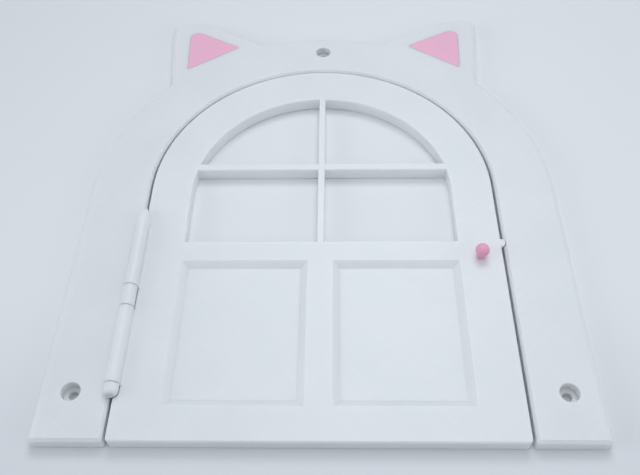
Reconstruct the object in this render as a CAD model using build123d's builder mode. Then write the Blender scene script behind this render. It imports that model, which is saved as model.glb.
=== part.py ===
from build123d import *
import os
from math import cos, radians, sin, sqrt

# Cat flap in printed plastic: an arched frame with two ears, and a windowed door hung on its left.
# The origin is on the back face at the centre of the arch, with +X to the right, +Y up the door
# and +Z out of the front. All sizes are in millimetres.

# Frame
opening_width = 188.0
rim_width = 33.1  # along the legs
rim_drop = 1.5  # centre of the outer arch below the centre of the opening's arch
foot_drop = 144.0  # from the arch centre down to the bottom edge
frame_thickness = 8.0
rim_edge_radius = 3.8
foot_corner_radius = 1.8
opening_chamfer = 1.4
back_chamfer = 0.5

# Ears, given for the right one and mirrored to the left
ear_rise = 18.4  # above the crown of the rim
ear_lean = 5.7  # how far the outer edge leans out from its root
ear_tip_width = 19.8
ear_outer_root_angle = 42.1  # root angles are measured from +X around the outer arch
ear_inner_root_angle = 72.9
ear_corner_radius = 6.0
ear_shoulder_radius = 18.0
ear_root_radius = 1.5

# Ear inlays, measured from the ear's outer top corner
inlay_side_inset = 13.2
inlay_top_inset = 9.2
inlay_width = 32.8
inlay_height = 38.3
inlay_point_drop = 17.8  # from the inlay's top corner down to its inner point
inlay_foot_shift = 2.0  # how far its lower corner stands in from its top corner
inlay_top_radius = 4.5
inlay_point_radius = 0.7
inlay_depth = 1.2
inlay_clearance = 0.1

# Screw holes
screw_inset = 18.0  # from the opening's edge out to the lower holes
screw_foot_height = 23.1
screw_crown_rise = 17.5  # from the opening's crown up to the top hole
screw_hole_diameter = 4.5
screw_head_diameter = 9.2
screw_head_depth = 5.0

# Door
door_gap = 1.5
door_thickness = 8.0
door_chamfer = 0.6
door_corner_radius = 1.8
stile_width = 21.9
crown_rail_width = 24.4
bottom_rail_width = 16.5
middle_rail_width = 11.9
panel_height = 78.4
panel_spacing = 12.6
panel_bevel = 3.6
panel_depth = 2.5
cross_bar_width = 4.5
cross_bar_rise = 51.4  # from the window's foot up to the bar's middle
upright_bar_width = 3.6
bar_chamfer = 0.4

# Knob
knob_diameter = 7.0
knob_centre_rise = 5.0
knob_neck_diameter = 4.0
knob_stem_diameter = 3.0
knob_stem_length = 4.0
knob_stem_clearance = 0.05
knob_edge_inset = 11.1
knob_panel_rise = 2.5  # above the panels' top edge

# Catch on the door's free edge
catch_radius = 2.2
catch_height = 3.0
catch_drop = 1.2  # below the window's foot
catch_clearance = 0.4

# Hinge, from its foot upwards
hinge_foot_height = 19.4
hinge_rise = 2.0  # axis above the front face
knuckle_radius = 3.5
knuckle_gap = 0.5
knuckle_fairing_radius = 1.2
hinge_clearance = 0.5
foot_knuckle_straight = 2.6  # above the foot knuckle's round end
lower_knuckle_length = 39.7
middle_knuckle_length = 11.4
upper_knuckle_length = 37.5
tip_length = 10.9
tip_radius = 1.0
pin_diameter = 3.0
pin_seat_clearance = 0.02
pin_running_clearance = 0.05
pin_end_gap = 0.5
pin_chamfer = 0.4


def rim_point(angle):
    """The point of the frame's outer arch at an angle from +X, in degrees."""
    return (rim_radius * cos(radians(angle)), rim_radius * sin(radians(angle)) - rim_drop)


# Places that follow from the sizes above
front = frame_thickness
door_back = front - door_thickness
opening_radius = opening_width / 2
rim_radius = opening_radius + rim_width
rim_middle = opening_radius + rim_width / 2
door_radius = opening_radius - door_gap
foot_y = -foot_drop
ear_outer_root = rim_point(ear_outer_root_angle)
ear_inner_root = rim_point(ear_inner_root_angle)
ear_corner = (ear_outer_root[0] + ear_lean, rim_radius - rim_drop + ear_rise)
ear_shoulder = (ear_corner[0] - ear_tip_width, ear_corner[1])
window_radius = door_radius - stile_width
window_centre_y = door_radius - crown_rail_width - window_radius
panel_foot_y = foot_y + bottom_rail_width
panel_top_y = panel_foot_y + panel_height
window_foot_y = panel_top_y + middle_rail_width
cross_bar_y = window_foot_y + cross_bar_rise
panel_width = window_radius - panel_spacing / 2
panel_x = panel_spacing / 2 + panel_width / 2
panel_y = (panel_foot_y + panel_top_y) / 2
knob_x = door_radius - knob_edge_inset
knob_y = panel_top_y + knob_panel_rise
catch_y = window_foot_y - catch_drop
screw_places = [
    (-opening_radius - screw_inset, foot_y + screw_foot_height),
    (opening_radius + screw_inset, foot_y + screw_foot_height),
    (0, opening_radius + screw_crown_rise),
]
hinge_x = -(opening_radius + door_radius) / 2
hinge_z = front + hinge_rise
foot_knuckle_y = foot_y + hinge_foot_height
dome_y = foot_knuckle_y + knuckle_radius
foot_knuckle_top_y = dome_y + foot_knuckle_straight
lower_knuckle_y = foot_knuckle_top_y + knuckle_gap
middle_knuckle_y = lower_knuckle_y + lower_knuckle_length + knuckle_gap
upper_knuckle_y = middle_knuckle_y + middle_knuckle_length + knuckle_gap
tip_y = upper_knuckle_y + upper_knuckle_length
pin_radius = pin_diameter / 2
pin_top_y = tip_y - pin_end_gap

# Hinge planes: one along the axis for turned shapes, and cross sections looking up the axis
hinge_axis = Axis((hinge_x, 0, hinge_z), (0, 1, 0))
hinge_profile_plane = Plane(origin=(hinge_x, 0, hinge_z), x_dir=(0, 1, 0), z_dir=(1, 0, 0))


def hinge_section_plane(y):
    """A plane across the hinge axis, with local x to the left of the door and local y up."""
    return Plane(origin=(hinge_x, y, hinge_z), x_dir=(-1, 0, 0), z_dir=(0, 1, 0))


def arch(radius, centre_y, bottom_y):
    """An outline with upright sides under a half round top."""
    with BuildSketch(mode=Mode.PRIVATE) as outline:
        with BuildLine():
            left = Line((-radius, centre_y), (-radius, bottom_y))
            foot = Line(left @ 1, (radius, bottom_y))
            right = Line(foot @ 1, (radius, centre_y))
            ThreePointArc(right @ 1, (0, centre_y + radius), left @ 0)
        make_face()
    return outline.sketch


def corners_at(outline, corner):
    """The outline's corners nearest to a point and to its mirror image across the middle."""
    x, y = corner
    return [outline.vertices().sort_by_distance((side * x, y, 0))[0] for side in (-1, 1)]


def frame_outline():
    """The frame's outer outline with both ears, before the opening is cut."""
    with BuildSketch(mode=Mode.PRIVATE) as outline:
        add(arch(rim_radius, -rim_drop, foot_y))
        with BuildLine():
            Polyline((0, 0), ear_outer_root, ear_corner, ear_shoulder, ear_inner_root, close=True)
        make_face()
        mirror(about=Plane.YZ)
        fillet(corners_at(outline, ear_corner), ear_corner_radius)
        fillet(corners_at(outline, ear_shoulder), ear_shoulder_radius)
        fillet(corners_at(outline, ear_outer_root), ear_root_radius)
        fillet(corners_at(outline, ear_inner_root), ear_root_radius)
    return outline.sketch


def inlay_outline(growth):
    """The right ear's inlay, with its sides moved out by growth."""
    top_x = ear_corner[0] - inlay_side_inset
    top_y = ear_corner[1] - inlay_top_inset
    with BuildSketch(mode=Mode.PRIVATE) as outline:
        with BuildLine():
            Polyline(
                (top_x, top_y),
                (top_x - inlay_width, top_y - inlay_point_drop),
                (top_x - inlay_foot_shift, top_y - inlay_height),
                close=True,
            )
        make_face()
        fillet(outline.vertices().sort_by(Axis.Y)[-1], inlay_top_radius)
        points = [outline.vertices().sort_by(Axis.X)[0], outline.vertices().sort_by(Axis.Y)[0]]
        fillet(points, inlay_point_radius)
        if growth:
            offset(amount=growth)
    return outline.sketch


def knuckle_fairing(side):
    """The hollow-sided web that carries a knuckle on its leaf: side is 1 to the left, -1 to the right."""
    reach = knuckle_radius + knuckle_fairing_radius
    rise = knuckle_fairing_radius - hinge_rise
    run = sqrt(reach**2 - rise**2)
    on_barrel = (side * run * knuckle_radius / reach, rise * knuckle_radius / reach)
    on_face = (side * run, -hinge_rise)
    inner = side * knuckle_radius / 2
    root = -hinge_rise - hinge_clearance
    with BuildSketch(mode=Mode.PRIVATE) as web:
        with BuildLine():
            TangentArc(on_face, on_barrel, tangent=(-side, 0))
            Polyline(on_barrel, (inner, 0), (inner, root), (side * run, root), on_face)
        make_face()
    return web.sketch


def door_knuckle_profile(growth):
    """Half sections of the two door knuckles about the hinge axis, grown all round by growth."""
    with BuildSketch(mode=Mode.PRIVATE) as profile:
        with BuildLine():
            Polyline(
                (lower_knuckle_y - growth, 0),
                (lower_knuckle_y - growth, knuckle_radius + growth),
                (lower_knuckle_y + lower_knuckle_length + growth, knuckle_radius + growth),
                (lower_knuckle_y + lower_knuckle_length + growth, 0),
                close=True,
            )
        make_face()
        with BuildLine():
            Polyline(
                (tip_y, knuckle_radius + growth),
                (upper_knuckle_y - growth, knuckle_radius + growth),
                (upper_knuckle_y - growth, 0),
                (tip_y + tip_length + growth, 0),
                (tip_y + tip_length + growth, tip_radius + growth),
            )
            TangentArc(
                (tip_y, knuckle_radius + growth),
                (tip_y + tip_length + growth, tip_radius + growth),
                tangent=(1, 0),
            )
        make_face()
    return profile.sketch


def frame_knuckle_profile(growth):
    """Half sections of the two frame knuckles about the hinge axis, grown all round by growth."""
    with BuildSketch(mode=Mode.PRIVATE) as profile:
        with BuildLine():
            CenterArc((dome_y, 0), knuckle_radius + growth, 90, 90)
            Polyline(
                (foot_knuckle_y - growth, 0),
                (foot_knuckle_top_y + growth, 0),
                (foot_knuckle_top_y + growth, knuckle_radius + growth),
                (dome_y, knuckle_radius + growth),
            )
        make_face()
        with BuildLine():
            Polyline(
                (middle_knuckle_y - growth, 0),
                (middle_knuckle_y - growth, knuckle_radius + growth),
                (middle_knuckle_y + middle_knuckle_length + growth, knuckle_radius + growth),
                (middle_knuckle_y + middle_knuckle_length + growth, 0),
                close=True,
            )
        make_face()
    return profile.sketch


# Frame: one plate with ears, the arched opening, inlay pockets, screw holes and two hinge knuckles
with BuildPart() as frame:
    with BuildSketch():
        add(frame_outline())
    extrude(amount=frame_thickness)
    rim_edges = frame.faces().sort_by(Axis.Z)[-1].edges()
    fillet(rim_edges - rim_edges.sort_by(Axis.Y)[:1], rim_edge_radius)
    with BuildSketch():
        add(arch(opening_radius, 0, foot_y))
    extrude(amount=frame_thickness, mode=Mode.SUBTRACT)
    fillet(frame.edges().filter_by(Axis.Z).sort_by_distance((0, foot_y, 0))[:2], foot_corner_radius)
    front_edges = frame.faces().sort_by(Axis.Z)[-1].edges()
    centre = Vertex(0, 0, front)
    opening_edges = front_edges.filter_by(lambda edge: edge.distance_to(centre) < rim_middle)
    chamfer(opening_edges, opening_chamfer)
    chamfer(frame.faces().sort_by(Axis.Z)[0].edges(), back_chamfer)
    with BuildSketch(Plane.XY.offset(front - inlay_depth)):
        add(inlay_outline(inlay_clearance))
        mirror(about=Plane.YZ)
    extrude(amount=inlay_depth, mode=Mode.SUBTRACT)
    with Locations([(x, y, front) for x, y in screw_places]):
        CounterBoreHole(screw_hole_diameter / 2, screw_head_diameter / 2, screw_head_depth)
    with BuildSketch(Plane.XY.offset(front - catch_height - catch_clearance)):
        with Locations((door_radius, catch_y)):
            Circle(catch_radius + catch_clearance)
    extrude(amount=catch_height + catch_clearance, mode=Mode.SUBTRACT)
    with BuildSketch(hinge_profile_plane):
        add(door_knuckle_profile(hinge_clearance))
    revolve(axis=hinge_axis, mode=Mode.SUBTRACT)
    with BuildSketch(hinge_profile_plane):
        add(frame_knuckle_profile(0))
    revolve(axis=hinge_axis)
    with BuildSketch(hinge_section_plane(dome_y)):
        add(knuckle_fairing(1))
    extrude(amount=foot_knuckle_straight)
    with BuildSketch(hinge_section_plane(middle_knuckle_y)):
        add(knuckle_fairing(1))
    extrude(amount=middle_knuckle_length)
    with BuildSketch(hinge_section_plane(foot_knuckle_y - hinge_clearance)):
        Circle(pin_radius + pin_seat_clearance)
    extrude(amount=pin_top_y - foot_knuckle_y, mode=Mode.SUBTRACT)
frame.part.label = "frame"

# Door: one plate with window lites, sunk panels, two hinge knuckles, a catch and the knob's socket
with BuildPart() as door:
    with BuildSketch(Plane.XY.offset(door_back)):
        add(arch(door_radius, 0, foot_y))
    extrude(amount=door_thickness)
    fillet(door.edges().filter_by(Axis.Z).sort_by(Axis.Y)[:2], door_corner_radius)
    chamfer(door.faces().sort_by(Axis.Z)[-1].edges(), door_chamfer)
    with BuildSketch(Plane.XY.offset(door_back)):
        add(arch(window_radius, window_centre_y, window_foot_y))
        with Locations((0, cross_bar_y)):
            Rectangle(2 * window_radius, cross_bar_width, mode=Mode.SUBTRACT)
        Rectangle(upright_bar_width, 4 * window_radius, mode=Mode.SUBTRACT)
    extrude(amount=door_thickness, mode=Mode.SUBTRACT)
    for lite in door.faces().sort_by(Axis.Z)[-1].inner_wires():
        chamfer(lite.edges(), bar_chamfer)
    back_face = door.faces().sort_by(Axis.Z)[0]
    chamfer(back_face.outer_wire().edges(), back_chamfer)
    for lite in back_face.inner_wires():
        chamfer(lite.edges(), back_chamfer)
    for side in (-1, 1):
        with BuildSketch(Plane.XY.offset(front)):
            with Locations((side * panel_x, panel_y)):
                Rectangle(panel_width, panel_height)
        with BuildSketch(Plane.XY.offset(front - panel_depth)):
            with Locations((side * panel_x, panel_y)):
                Rectangle(panel_width - 2 * panel_bevel, panel_height - 2 * panel_bevel)
        loft(mode=Mode.SUBTRACT)
    with BuildSketch(Plane.XY.offset(front - catch_height)):
        with Locations((door_radius, catch_y)):
            Circle(catch_radius)
    extrude(amount=catch_height)
    with BuildSketch(hinge_profile_plane):
        add(frame_knuckle_profile(hinge_clearance))
    revolve(axis=hinge_axis, mode=Mode.SUBTRACT)
    with BuildSketch(hinge_profile_plane):
        add(door_knuckle_profile(0))
    revolve(axis=hinge_axis)
    for start, length in ((lower_knuckle_y, lower_knuckle_length), (upper_knuckle_y, upper_knuckle_length)):
        with BuildSketch(hinge_section_plane(start)):
            add(knuckle_fairing(-1))
        extrude(amount=length)
    with BuildSketch(hinge_section_plane(foot_knuckle_y)):
        Circle(pin_radius + pin_running_clearance)
    extrude(amount=tip_y - foot_knuckle_y, mode=Mode.SUBTRACT)
    with Locations((knob_x, knob_y, front)):
        Hole(knob_stem_diameter / 2 + knob_stem_clearance, depth=knob_stem_length + knob_stem_clearance)
door.part.label = "door"

# Hinge pin: a rod from the foot knuckle's dome up into the upper door knuckle
with BuildPart() as hinge_pin:
    with BuildSketch(hinge_profile_plane):
        dome_rim_y = dome_y - sqrt(knuckle_radius**2 - pin_radius**2)
        with BuildLine():
            RadiusArc((foot_knuckle_y, 0), (dome_rim_y, pin_radius), knuckle_radius)
            Polyline(
                (dome_rim_y, pin_radius),
                (pin_top_y - pin_chamfer, pin_radius),
                (pin_top_y, pin_radius - pin_chamfer),
                (pin_top_y, 0),
                (foot_knuckle_y, 0),
            )
        make_face()
    revolve(axis=hinge_axis)
hinge_pin.part.label = "hinge_pin"

# Knob: a ball on a short neck, with a stem into the door
with BuildPart() as knob:
    with BuildSketch(Plane.XZ.offset(-knob_y)):
        knob_radius = knob_diameter / 2
        neck_radius = knob_neck_diameter / 2
        ball_z = front + knob_centre_rise
        ball_foot_z = ball_z - sqrt(knob_radius**2 - neck_radius**2)
        with BuildLine():
            Polyline(
                (knob_x, ball_z + knob_radius),
                (knob_x, front - knob_stem_length),
                (knob_x + knob_stem_diameter / 2, front - knob_stem_length),
                (knob_x + knob_stem_diameter / 2, front),
                (knob_x + neck_radius, front),
                (knob_x + neck_radius, ball_foot_z),
            )
            ThreePointArc(
                (knob_x + neck_radius, ball_foot_z),
                (knob_x + knob_radius, ball_z),
                (knob_x, ball_z + knob_radius),
            )
        make_face()
    revolve(axis=Axis((knob_x, knob_y, 0), (0, 0, 1)))
knob.part.label = "knob"

# Ear inlays: flush triangles set into the frame's pockets
with BuildPart() as ear_inlay_right:
    with BuildSketch(Plane.XY.offset(front - inlay_depth)):
        add(inlay_outline(0))
    extrude(amount=inlay_depth)
ear_inlay_right.part.label = "ear_inlay_right"

with BuildPart() as ear_inlay_left:
    with BuildSketch(Plane.XY.offset(front - inlay_depth)):
        add(mirror(inlay_outline(0), about=Plane.YZ, mode=Mode.PRIVATE))
    extrude(amount=inlay_depth)
ear_inlay_left.part.label = "ear_inlay_left"

os.makedirs("parts", exist_ok=True)
for piece in (frame, door, hinge_pin, knob, ear_inlay_left, ear_inlay_right):
    export_step(piece.part, f"parts/{piece.part.label}.step")
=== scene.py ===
from math import radians

import bpy
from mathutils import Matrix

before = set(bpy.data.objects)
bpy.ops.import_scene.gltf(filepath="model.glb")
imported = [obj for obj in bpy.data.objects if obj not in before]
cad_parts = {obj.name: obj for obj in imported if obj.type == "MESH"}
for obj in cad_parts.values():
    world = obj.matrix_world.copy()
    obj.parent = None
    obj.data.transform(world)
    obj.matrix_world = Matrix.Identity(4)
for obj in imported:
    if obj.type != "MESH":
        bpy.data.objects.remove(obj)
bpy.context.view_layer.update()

# Lines that printing leaves on the plastic, in millimetres, and how far each stands out
stroke_width = 0.45
layer_thickness = 0.2
diagonal = 0.7071
stroke_crown = 0.7
stroke_unevenness = 0.5
layer_unevenness = 0.6
bump_strength = 0.08
bump_distance = 0.00004  # metres

# Mottle of the plastic: its changes per millimetre, and each part's share of the tone
broad_mottle = 0.03
fine_mottle = 0.6
broad_share = 0.6
fine_share = 0.3
line_share = 0.1

# Gloss of the plastic, and how far light goes into it
plain_roughness = 0.3
fine_roughness = 0.1
broad_roughness = 0.08
plastic_ior = 1.46
light_depth = 0.003  # metres
milky = 0.7
opaque = 0.0

# Colours, each with the deeper tone that the mottle goes down to
frame_white = (0.82, 0.825, 0.82, 1)
frame_white_deep = (0.775, 0.785, 0.785, 1)
door_white = (0.83, 0.835, 0.83, 1)
door_white_deep = (0.785, 0.795, 0.795, 1)
inlay_pink = (0.937, 0.507, 0.647, 1)
inlay_pink_deep = (0.902, 0.472, 0.617, 1)
knob_pink = (0.885, 0.403, 0.542, 1)
knob_pink_deep = (0.825, 0.355, 0.495, 1)
table_white = (0.84, 0.84, 0.838, 1)
# Painted shade: the table's colour in front, darker because less light falls there
table_front_painted_shade = (0.738, 0.738, 0.745, 1)
backdrop_colour = (0.66, 0.71, 0.775, 1)
cool_white = (0.863, 0.92, 1.0)

# Hairlines on the frame's feet: start, end and half width in millimetres
foot_scuffs = [
    ((-118.9, -135.7), (-114.5, -130.8), 0.4),
    ((108.2, -133.7), (112.6, -130.5), 0.4),
]
scuff_depth = 0.5
scuff_fade = 1.5  # millimetres at each end

# Table, in metres from the part's centre
table_size = 6.0
table_drop = 0.0001
table_roughness = 0.7
# Where the painted shade on the table is full and where it ends, along y
painted_shade_full_at = -0.17
painted_shade_ends_at = -0.05
backdrop_starts = 0.27
backdrop_full = 0.6

# Lamps: name, place and turn in metres and degrees, size in metres, power in watts
lamps = [
    ("back_softbox", (0.05, 0.45, 0.8), (31.1, 0, 174.1), (0.5, 0.4), 2.76),
    ("right_back_softbox", (0.5, 0.35, 0.5), (51.5, 0, 127.2), (0.35, 0.35), 0.18),
    ("left_window", (-1.3, -0.2, 0.5), (69.1, 0, -82.5), (1.0, 0.6), 3.65),
    ("right_window", (1.3, -0.2, 0.5), (69.1, 0, 82.5), (1.0, 0.6), 2.7),
    ("left_near_fill", (-0.4, -0.25, 0.3), (56.7, 0, -61.2), (0.25, 0.25), 0.26),
    ("right_near_fill", (0.3, -0.45, 0.3), (59.8, 0, 35.5), (0.25, 0.25), 0.3),
    ("front_glow", (0.03, -0.1, 0.42), (0, 0, 0), (0.2, 0.2), 0.26),
    ("right_glow", (0.14, 0, 0.4), (0, 0, 0), (0.2, 0.2), 0.07),
]
room_strength = 0.32

# Camera, in metres and degrees, with its lens and sensor in millimetres
camera_place = (0.0090, -0.2596, 0.3130)
camera_turn = (36.382, 1.209, 0.716)
camera_lens = 41.16
camera_sensor = 36.0
camera_clip_start = 0.01


class Value:
    """One number that varies over a surface: a node's output that works in Python sums."""

    def __init__(self, finish, socket):
        self.finish = finish
        self.socket = socket

    def _math(self, operation, first, second):
        node = self.finish.node("ShaderNodeMath", {"operation": operation}, {0: first, 1: second})
        return Value(self.finish, node.outputs[0])

    def __add__(self, other):
        return self._math("ADD", self, other)

    def __radd__(self, other):
        return self._math("ADD", other, self)

    def __sub__(self, other):
        return self._math("SUBTRACT", self, other)

    def __rsub__(self, other):
        return self._math("SUBTRACT", other, self)

    def __mul__(self, other):
        return self._math("MULTIPLY", self, other)

    def __rmul__(self, other):
        return self._math("MULTIPLY", other, self)

    def __truediv__(self, other):
        return self._math("DIVIDE", self, other)

    def __rtruediv__(self, other):
        return self._math("DIVIDE", other, self)

    def __mod__(self, other):
        return self._math("FLOORED_MODULO", self, other)

    def __floordiv__(self, other):
        node = self.finish.node("ShaderNodeMath", {"operation": "FLOOR"}, {0: self / other})
        return Value(self.finish, node.outputs[0])

    def __abs__(self):
        node = self.finish.node("ShaderNodeMath", {"operation": "ABSOLUTE"}, {0: self})
        return Value(self.finish, node.outputs[0])


class Finish:
    """The nodes of one material, or of the room's light, with one way to add any node."""

    def __init__(self, owner):
        owner.use_nodes = True
        self.tree = owner.node_tree
        self.tree.nodes.clear()

    def node(self, kind, settings=None, sockets=None):
        node = self.tree.nodes.new(kind)
        for name, setting in (settings or {}).items():
            setattr(node, name, setting)
        for name, value in (sockets or {}).items():
            if isinstance(value, Value):
                self.tree.links.new(value.socket, node.inputs[name])
            elif isinstance(value, bpy.types.NodeSocket):
                self.tree.links.new(value, node.inputs[name])
            else:
                node.inputs[name].default_value = value
        return node

    def ramp(self, value, low, high, to_low=0.0, to_high=1.0):
        """A smooth step from one level to another as a value goes from low to high."""
        sockets = {"Value": value, "From Min": low, "From Max": high, "To Min": to_low, "To Max": to_high}
        node = self.node("ShaderNodeMapRange", {"interpolation_type": "SMOOTHSTEP"}, sockets)
        return Value(self, node.outputs[0])

    def noise(self, place, per_mm, detail):
        """Soft mottling from 0 to 1, given by how many times it changes over a millimetre."""
        sockets = {"Vector": place, "Scale": per_mm, "Detail": detail}
        node = self.node("ShaderNodeTexNoise", {"noise_dimensions": "3D"}, sockets)
        return Value(self, node.outputs["Fac"])

    def chance(self, number):
        """A fixed random level from 0 to 1 for each whole number."""
        node = self.node("ShaderNodeTexWhiteNoise", {"noise_dimensions": "1D"}, {"W": number})
        return Value(self, node.outputs["Value"])

    def split(self, vector):
        node = self.node("ShaderNodeSeparateXYZ", None, {0: vector})
        return [Value(self, output) for output in node.outputs]

    def mix(self, factor, first, second):
        node = self.node("ShaderNodeMix", {"data_type": "RGBA"}, {"Factor": factor, 6: first, 7: second})
        return node.outputs[2]

    def mix_shaders(self, factor, first, second):
        sockets = {0: factor, 1: first.outputs[0], 2: second.outputs[0]}
        return self.node("ShaderNodeMixShader", None, sockets)

    def looked_at(self):
        """One where the camera, a reflection or clear glass sees a place, zero for light on the part."""
        path = self.node("ShaderNodeLightPath")
        rays = ["Is Camera Ray", "Is Glossy Ray", "Is Transmission Ray"]
        camera_ray, glossy_ray, clear_ray = [Value(self, path.outputs[ray]) for ray in rays]
        return camera_ray + glossy_ray + clear_ray


def printed_line(position, pitch):
    """The rounded top of the printed lines: 1 along the middle of each and 0 between two."""
    from_middle = (position / pitch) % 1.0 - 0.5
    return 1.0 - 4.0 * from_middle * from_middle


def scuff(finish, x, y, start, end, half_width):
    """A straight hairline between two points of the front, in millimetres, deepest on its line."""
    dx = end[0] - start[0]
    dy = end[1] - start[1]
    length = (dx * dx + dy * dy) ** 0.5
    along = ((x - start[0]) * dx + (y - start[1]) * dy) / length
    aside = abs((x - start[0]) * dy - (y - start[1]) * dx) / length
    first_end = finish.ramp(along, 0.0, scuff_fade)
    last_end = finish.ramp(along, length - scuff_fade, length, 1.0, 0.0)
    return finish.ramp(aside, 0.0, half_width, scuff_depth, 0.0) * (first_end * last_end)


def printed_plastic(name, colour, deep_colour, stroke_slant, milkiness, scuffs=()):
    """Satin printed plastic: strokes across flat faces, layers up the walls and a soft mottle."""
    material = bpy.data.materials.new(name)
    finish = Finish(material)
    coordinates = finish.node("ShaderNodeTexCoord")
    metres = coordinates.outputs["Object"]
    millimetres = finish.node("ShaderNodeVectorMath", {"operation": "SCALE"}, {0: metres, 3: 1000.0})
    place = millimetres.outputs[0]
    x, y, z = finish.split(place)
    up = finish.split(coordinates.outputs["Normal"])[2]
    flat = finish.ramp(abs(up), 0.95, 0.995)
    wall = 1.0 - flat

    across = (x + stroke_slant * y) * diagonal
    stroke_chance = finish.chance(across // stroke_width)
    layer_chance = finish.chance(z // layer_thickness)
    stroke_relief = stroke_crown * printed_line(across, stroke_width) + stroke_unevenness * stroke_chance
    layer_relief = printed_line(z, layer_thickness) + layer_unevenness * layer_chance
    relief = flat * stroke_relief + wall * layer_relief
    bump = finish.node(
        "ShaderNodeBump", None, {"Strength": bump_strength, "Distance": bump_distance, "Height": relief}
    )

    broad = finish.noise(place, broad_mottle, 3.0)
    fine = finish.noise(place, fine_mottle, 4.0)
    lines = flat * stroke_chance + wall * layer_chance
    tone = broad_share * broad + fine_share * fine + line_share * lines
    for start, end, half_width in scuffs:
        tone = tone - scuff(finish, x, y, start, end, half_width)
    shader = finish.node(
        "ShaderNodeBsdfPrincipled",
        None,
        {
            "Base Color": finish.mix(finish.ramp(tone, 0.25, 0.75), deep_colour, colour),
            "Roughness": plain_roughness + fine_roughness * fine + broad_roughness * broad,
            "IOR": plastic_ior,
            "Subsurface Weight": milkiness,
            "Subsurface Radius": (1.0, 1.0, 1.0),
            "Subsurface Scale": light_depth,
            "Normal": bump.outputs[0],
        },
    )
    finish.node("ShaderNodeOutputMaterial", None, {"Surface": shader.outputs[0]})
    return material


def give(nodes, material):
    for name in nodes:
        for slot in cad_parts[name].material_slots:
            slot.material = material


def soft_lamp(name, place, turn, size, power):
    bpy.ops.object.light_add(type="AREA", location=place, rotation=[radians(angle) for angle in turn])
    lamp = bpy.context.object
    lamp.name = name
    lamp.data.shape = "RECTANGLE"
    lamp.data.size = size[0]
    lamp.data.size_y = size[1]
    lamp.data.energy = power
    lamp.data.color = cool_white


# Plastic of the part: the strokes slant one way on the frame and the other way on the rest
give(["frame"], printed_plastic("white_frame_print", frame_white, frame_white_deep, -1, milky, foot_scuffs))
give(["door"], printed_plastic("white_door_print", door_white, door_white_deep, 1, milky))
give(["hinge_pin"], printed_plastic("white_pin_print", frame_white, frame_white_deep, 1, milky))
give(
    ["ear_inlay_left", "ear_inlay_right"],
    printed_plastic("pink_inlay_print", inlay_pink, inlay_pink_deep, 1, opaque),
)
give(["knob"], printed_plastic("pink_knob_print", knob_pink, knob_pink_deep, 1, opaque))

# Pale table under the part, with painted shade that makes it a little deeper in front, which fades far away
# into the backdrop
bpy.ops.object.select_all(action="DESELECT")
bpy.ops.mesh.primitive_plane_add(size=table_size, location=(0, 0, -table_drop))
table = bpy.context.object
table.name = "table"
pale_table = bpy.data.materials.new("pale_table")
table_finish = Finish(pale_table)
table_place = table_finish.node("ShaderNodeTexCoord").outputs["Object"]
table_y = table_finish.split(table_place)[1]
# Painted shade: the table goes darker towards the front, where less light falls
out_of_painted_shade = table_finish.ramp(table_y, painted_shade_full_at, painted_shade_ends_at)
table_colour = table_finish.mix(out_of_painted_shade, table_front_painted_shade, table_white)
table_surface = table_finish.node(
    "ShaderNodeBsdfPrincipled", None, {"Base Color": table_colour, "Roughness": table_roughness}
)
table_backdrop = table_finish.node("ShaderNodeEmission", None, {"Color": backdrop_colour})
table_distance = table_finish.node("ShaderNodeVectorMath", {"operation": "LENGTH"}, {0: table_place})
distance = Value(table_finish, table_distance.outputs["Value"])
far_away = table_finish.ramp(distance, backdrop_starts, backdrop_full)
table_shader = table_finish.mix_shaders(
    far_away * table_finish.looked_at(), table_surface, table_backdrop
)
table_finish.node("ShaderNodeOutputMaterial", None, {"Surface": table_shader.outputs[0]})
table.data.materials.append(pale_table)

# Soft lamps, and a room that lights the part dimly and looks pale
for name, place, turn, size, power in lamps:
    soft_lamp(name, place, turn, size, power)
world = bpy.data.worlds.new("pale_room")
bpy.context.scene.world = world
room = Finish(world)
room_light = room.node(
    "ShaderNodeBackground", None, {"Color": (*cool_white, 1), "Strength": room_strength}
)
room_backdrop = room.node("ShaderNodeBackground", None, {"Color": backdrop_colour})
room_shader = room.mix_shaders(room.looked_at(), room_light, room_backdrop)
room.node("ShaderNodeOutputWorld", None, {"Surface": room_shader.outputs[0]})

# Camera where the photograph was taken from
bpy.ops.object.camera_add(location=camera_place, rotation=[radians(angle) for angle in camera_turn])
camera = bpy.context.object
camera.name = "photo_camera"
camera.data.sensor_fit = "HORIZONTAL"
camera.data.sensor_width = camera_sensor
camera.data.lens = camera_lens
camera.data.clip_start = camera_clip_start
bpy.context.scene.camera = camera
bpy.context.scene.view_settings.view_transform = "Standard"
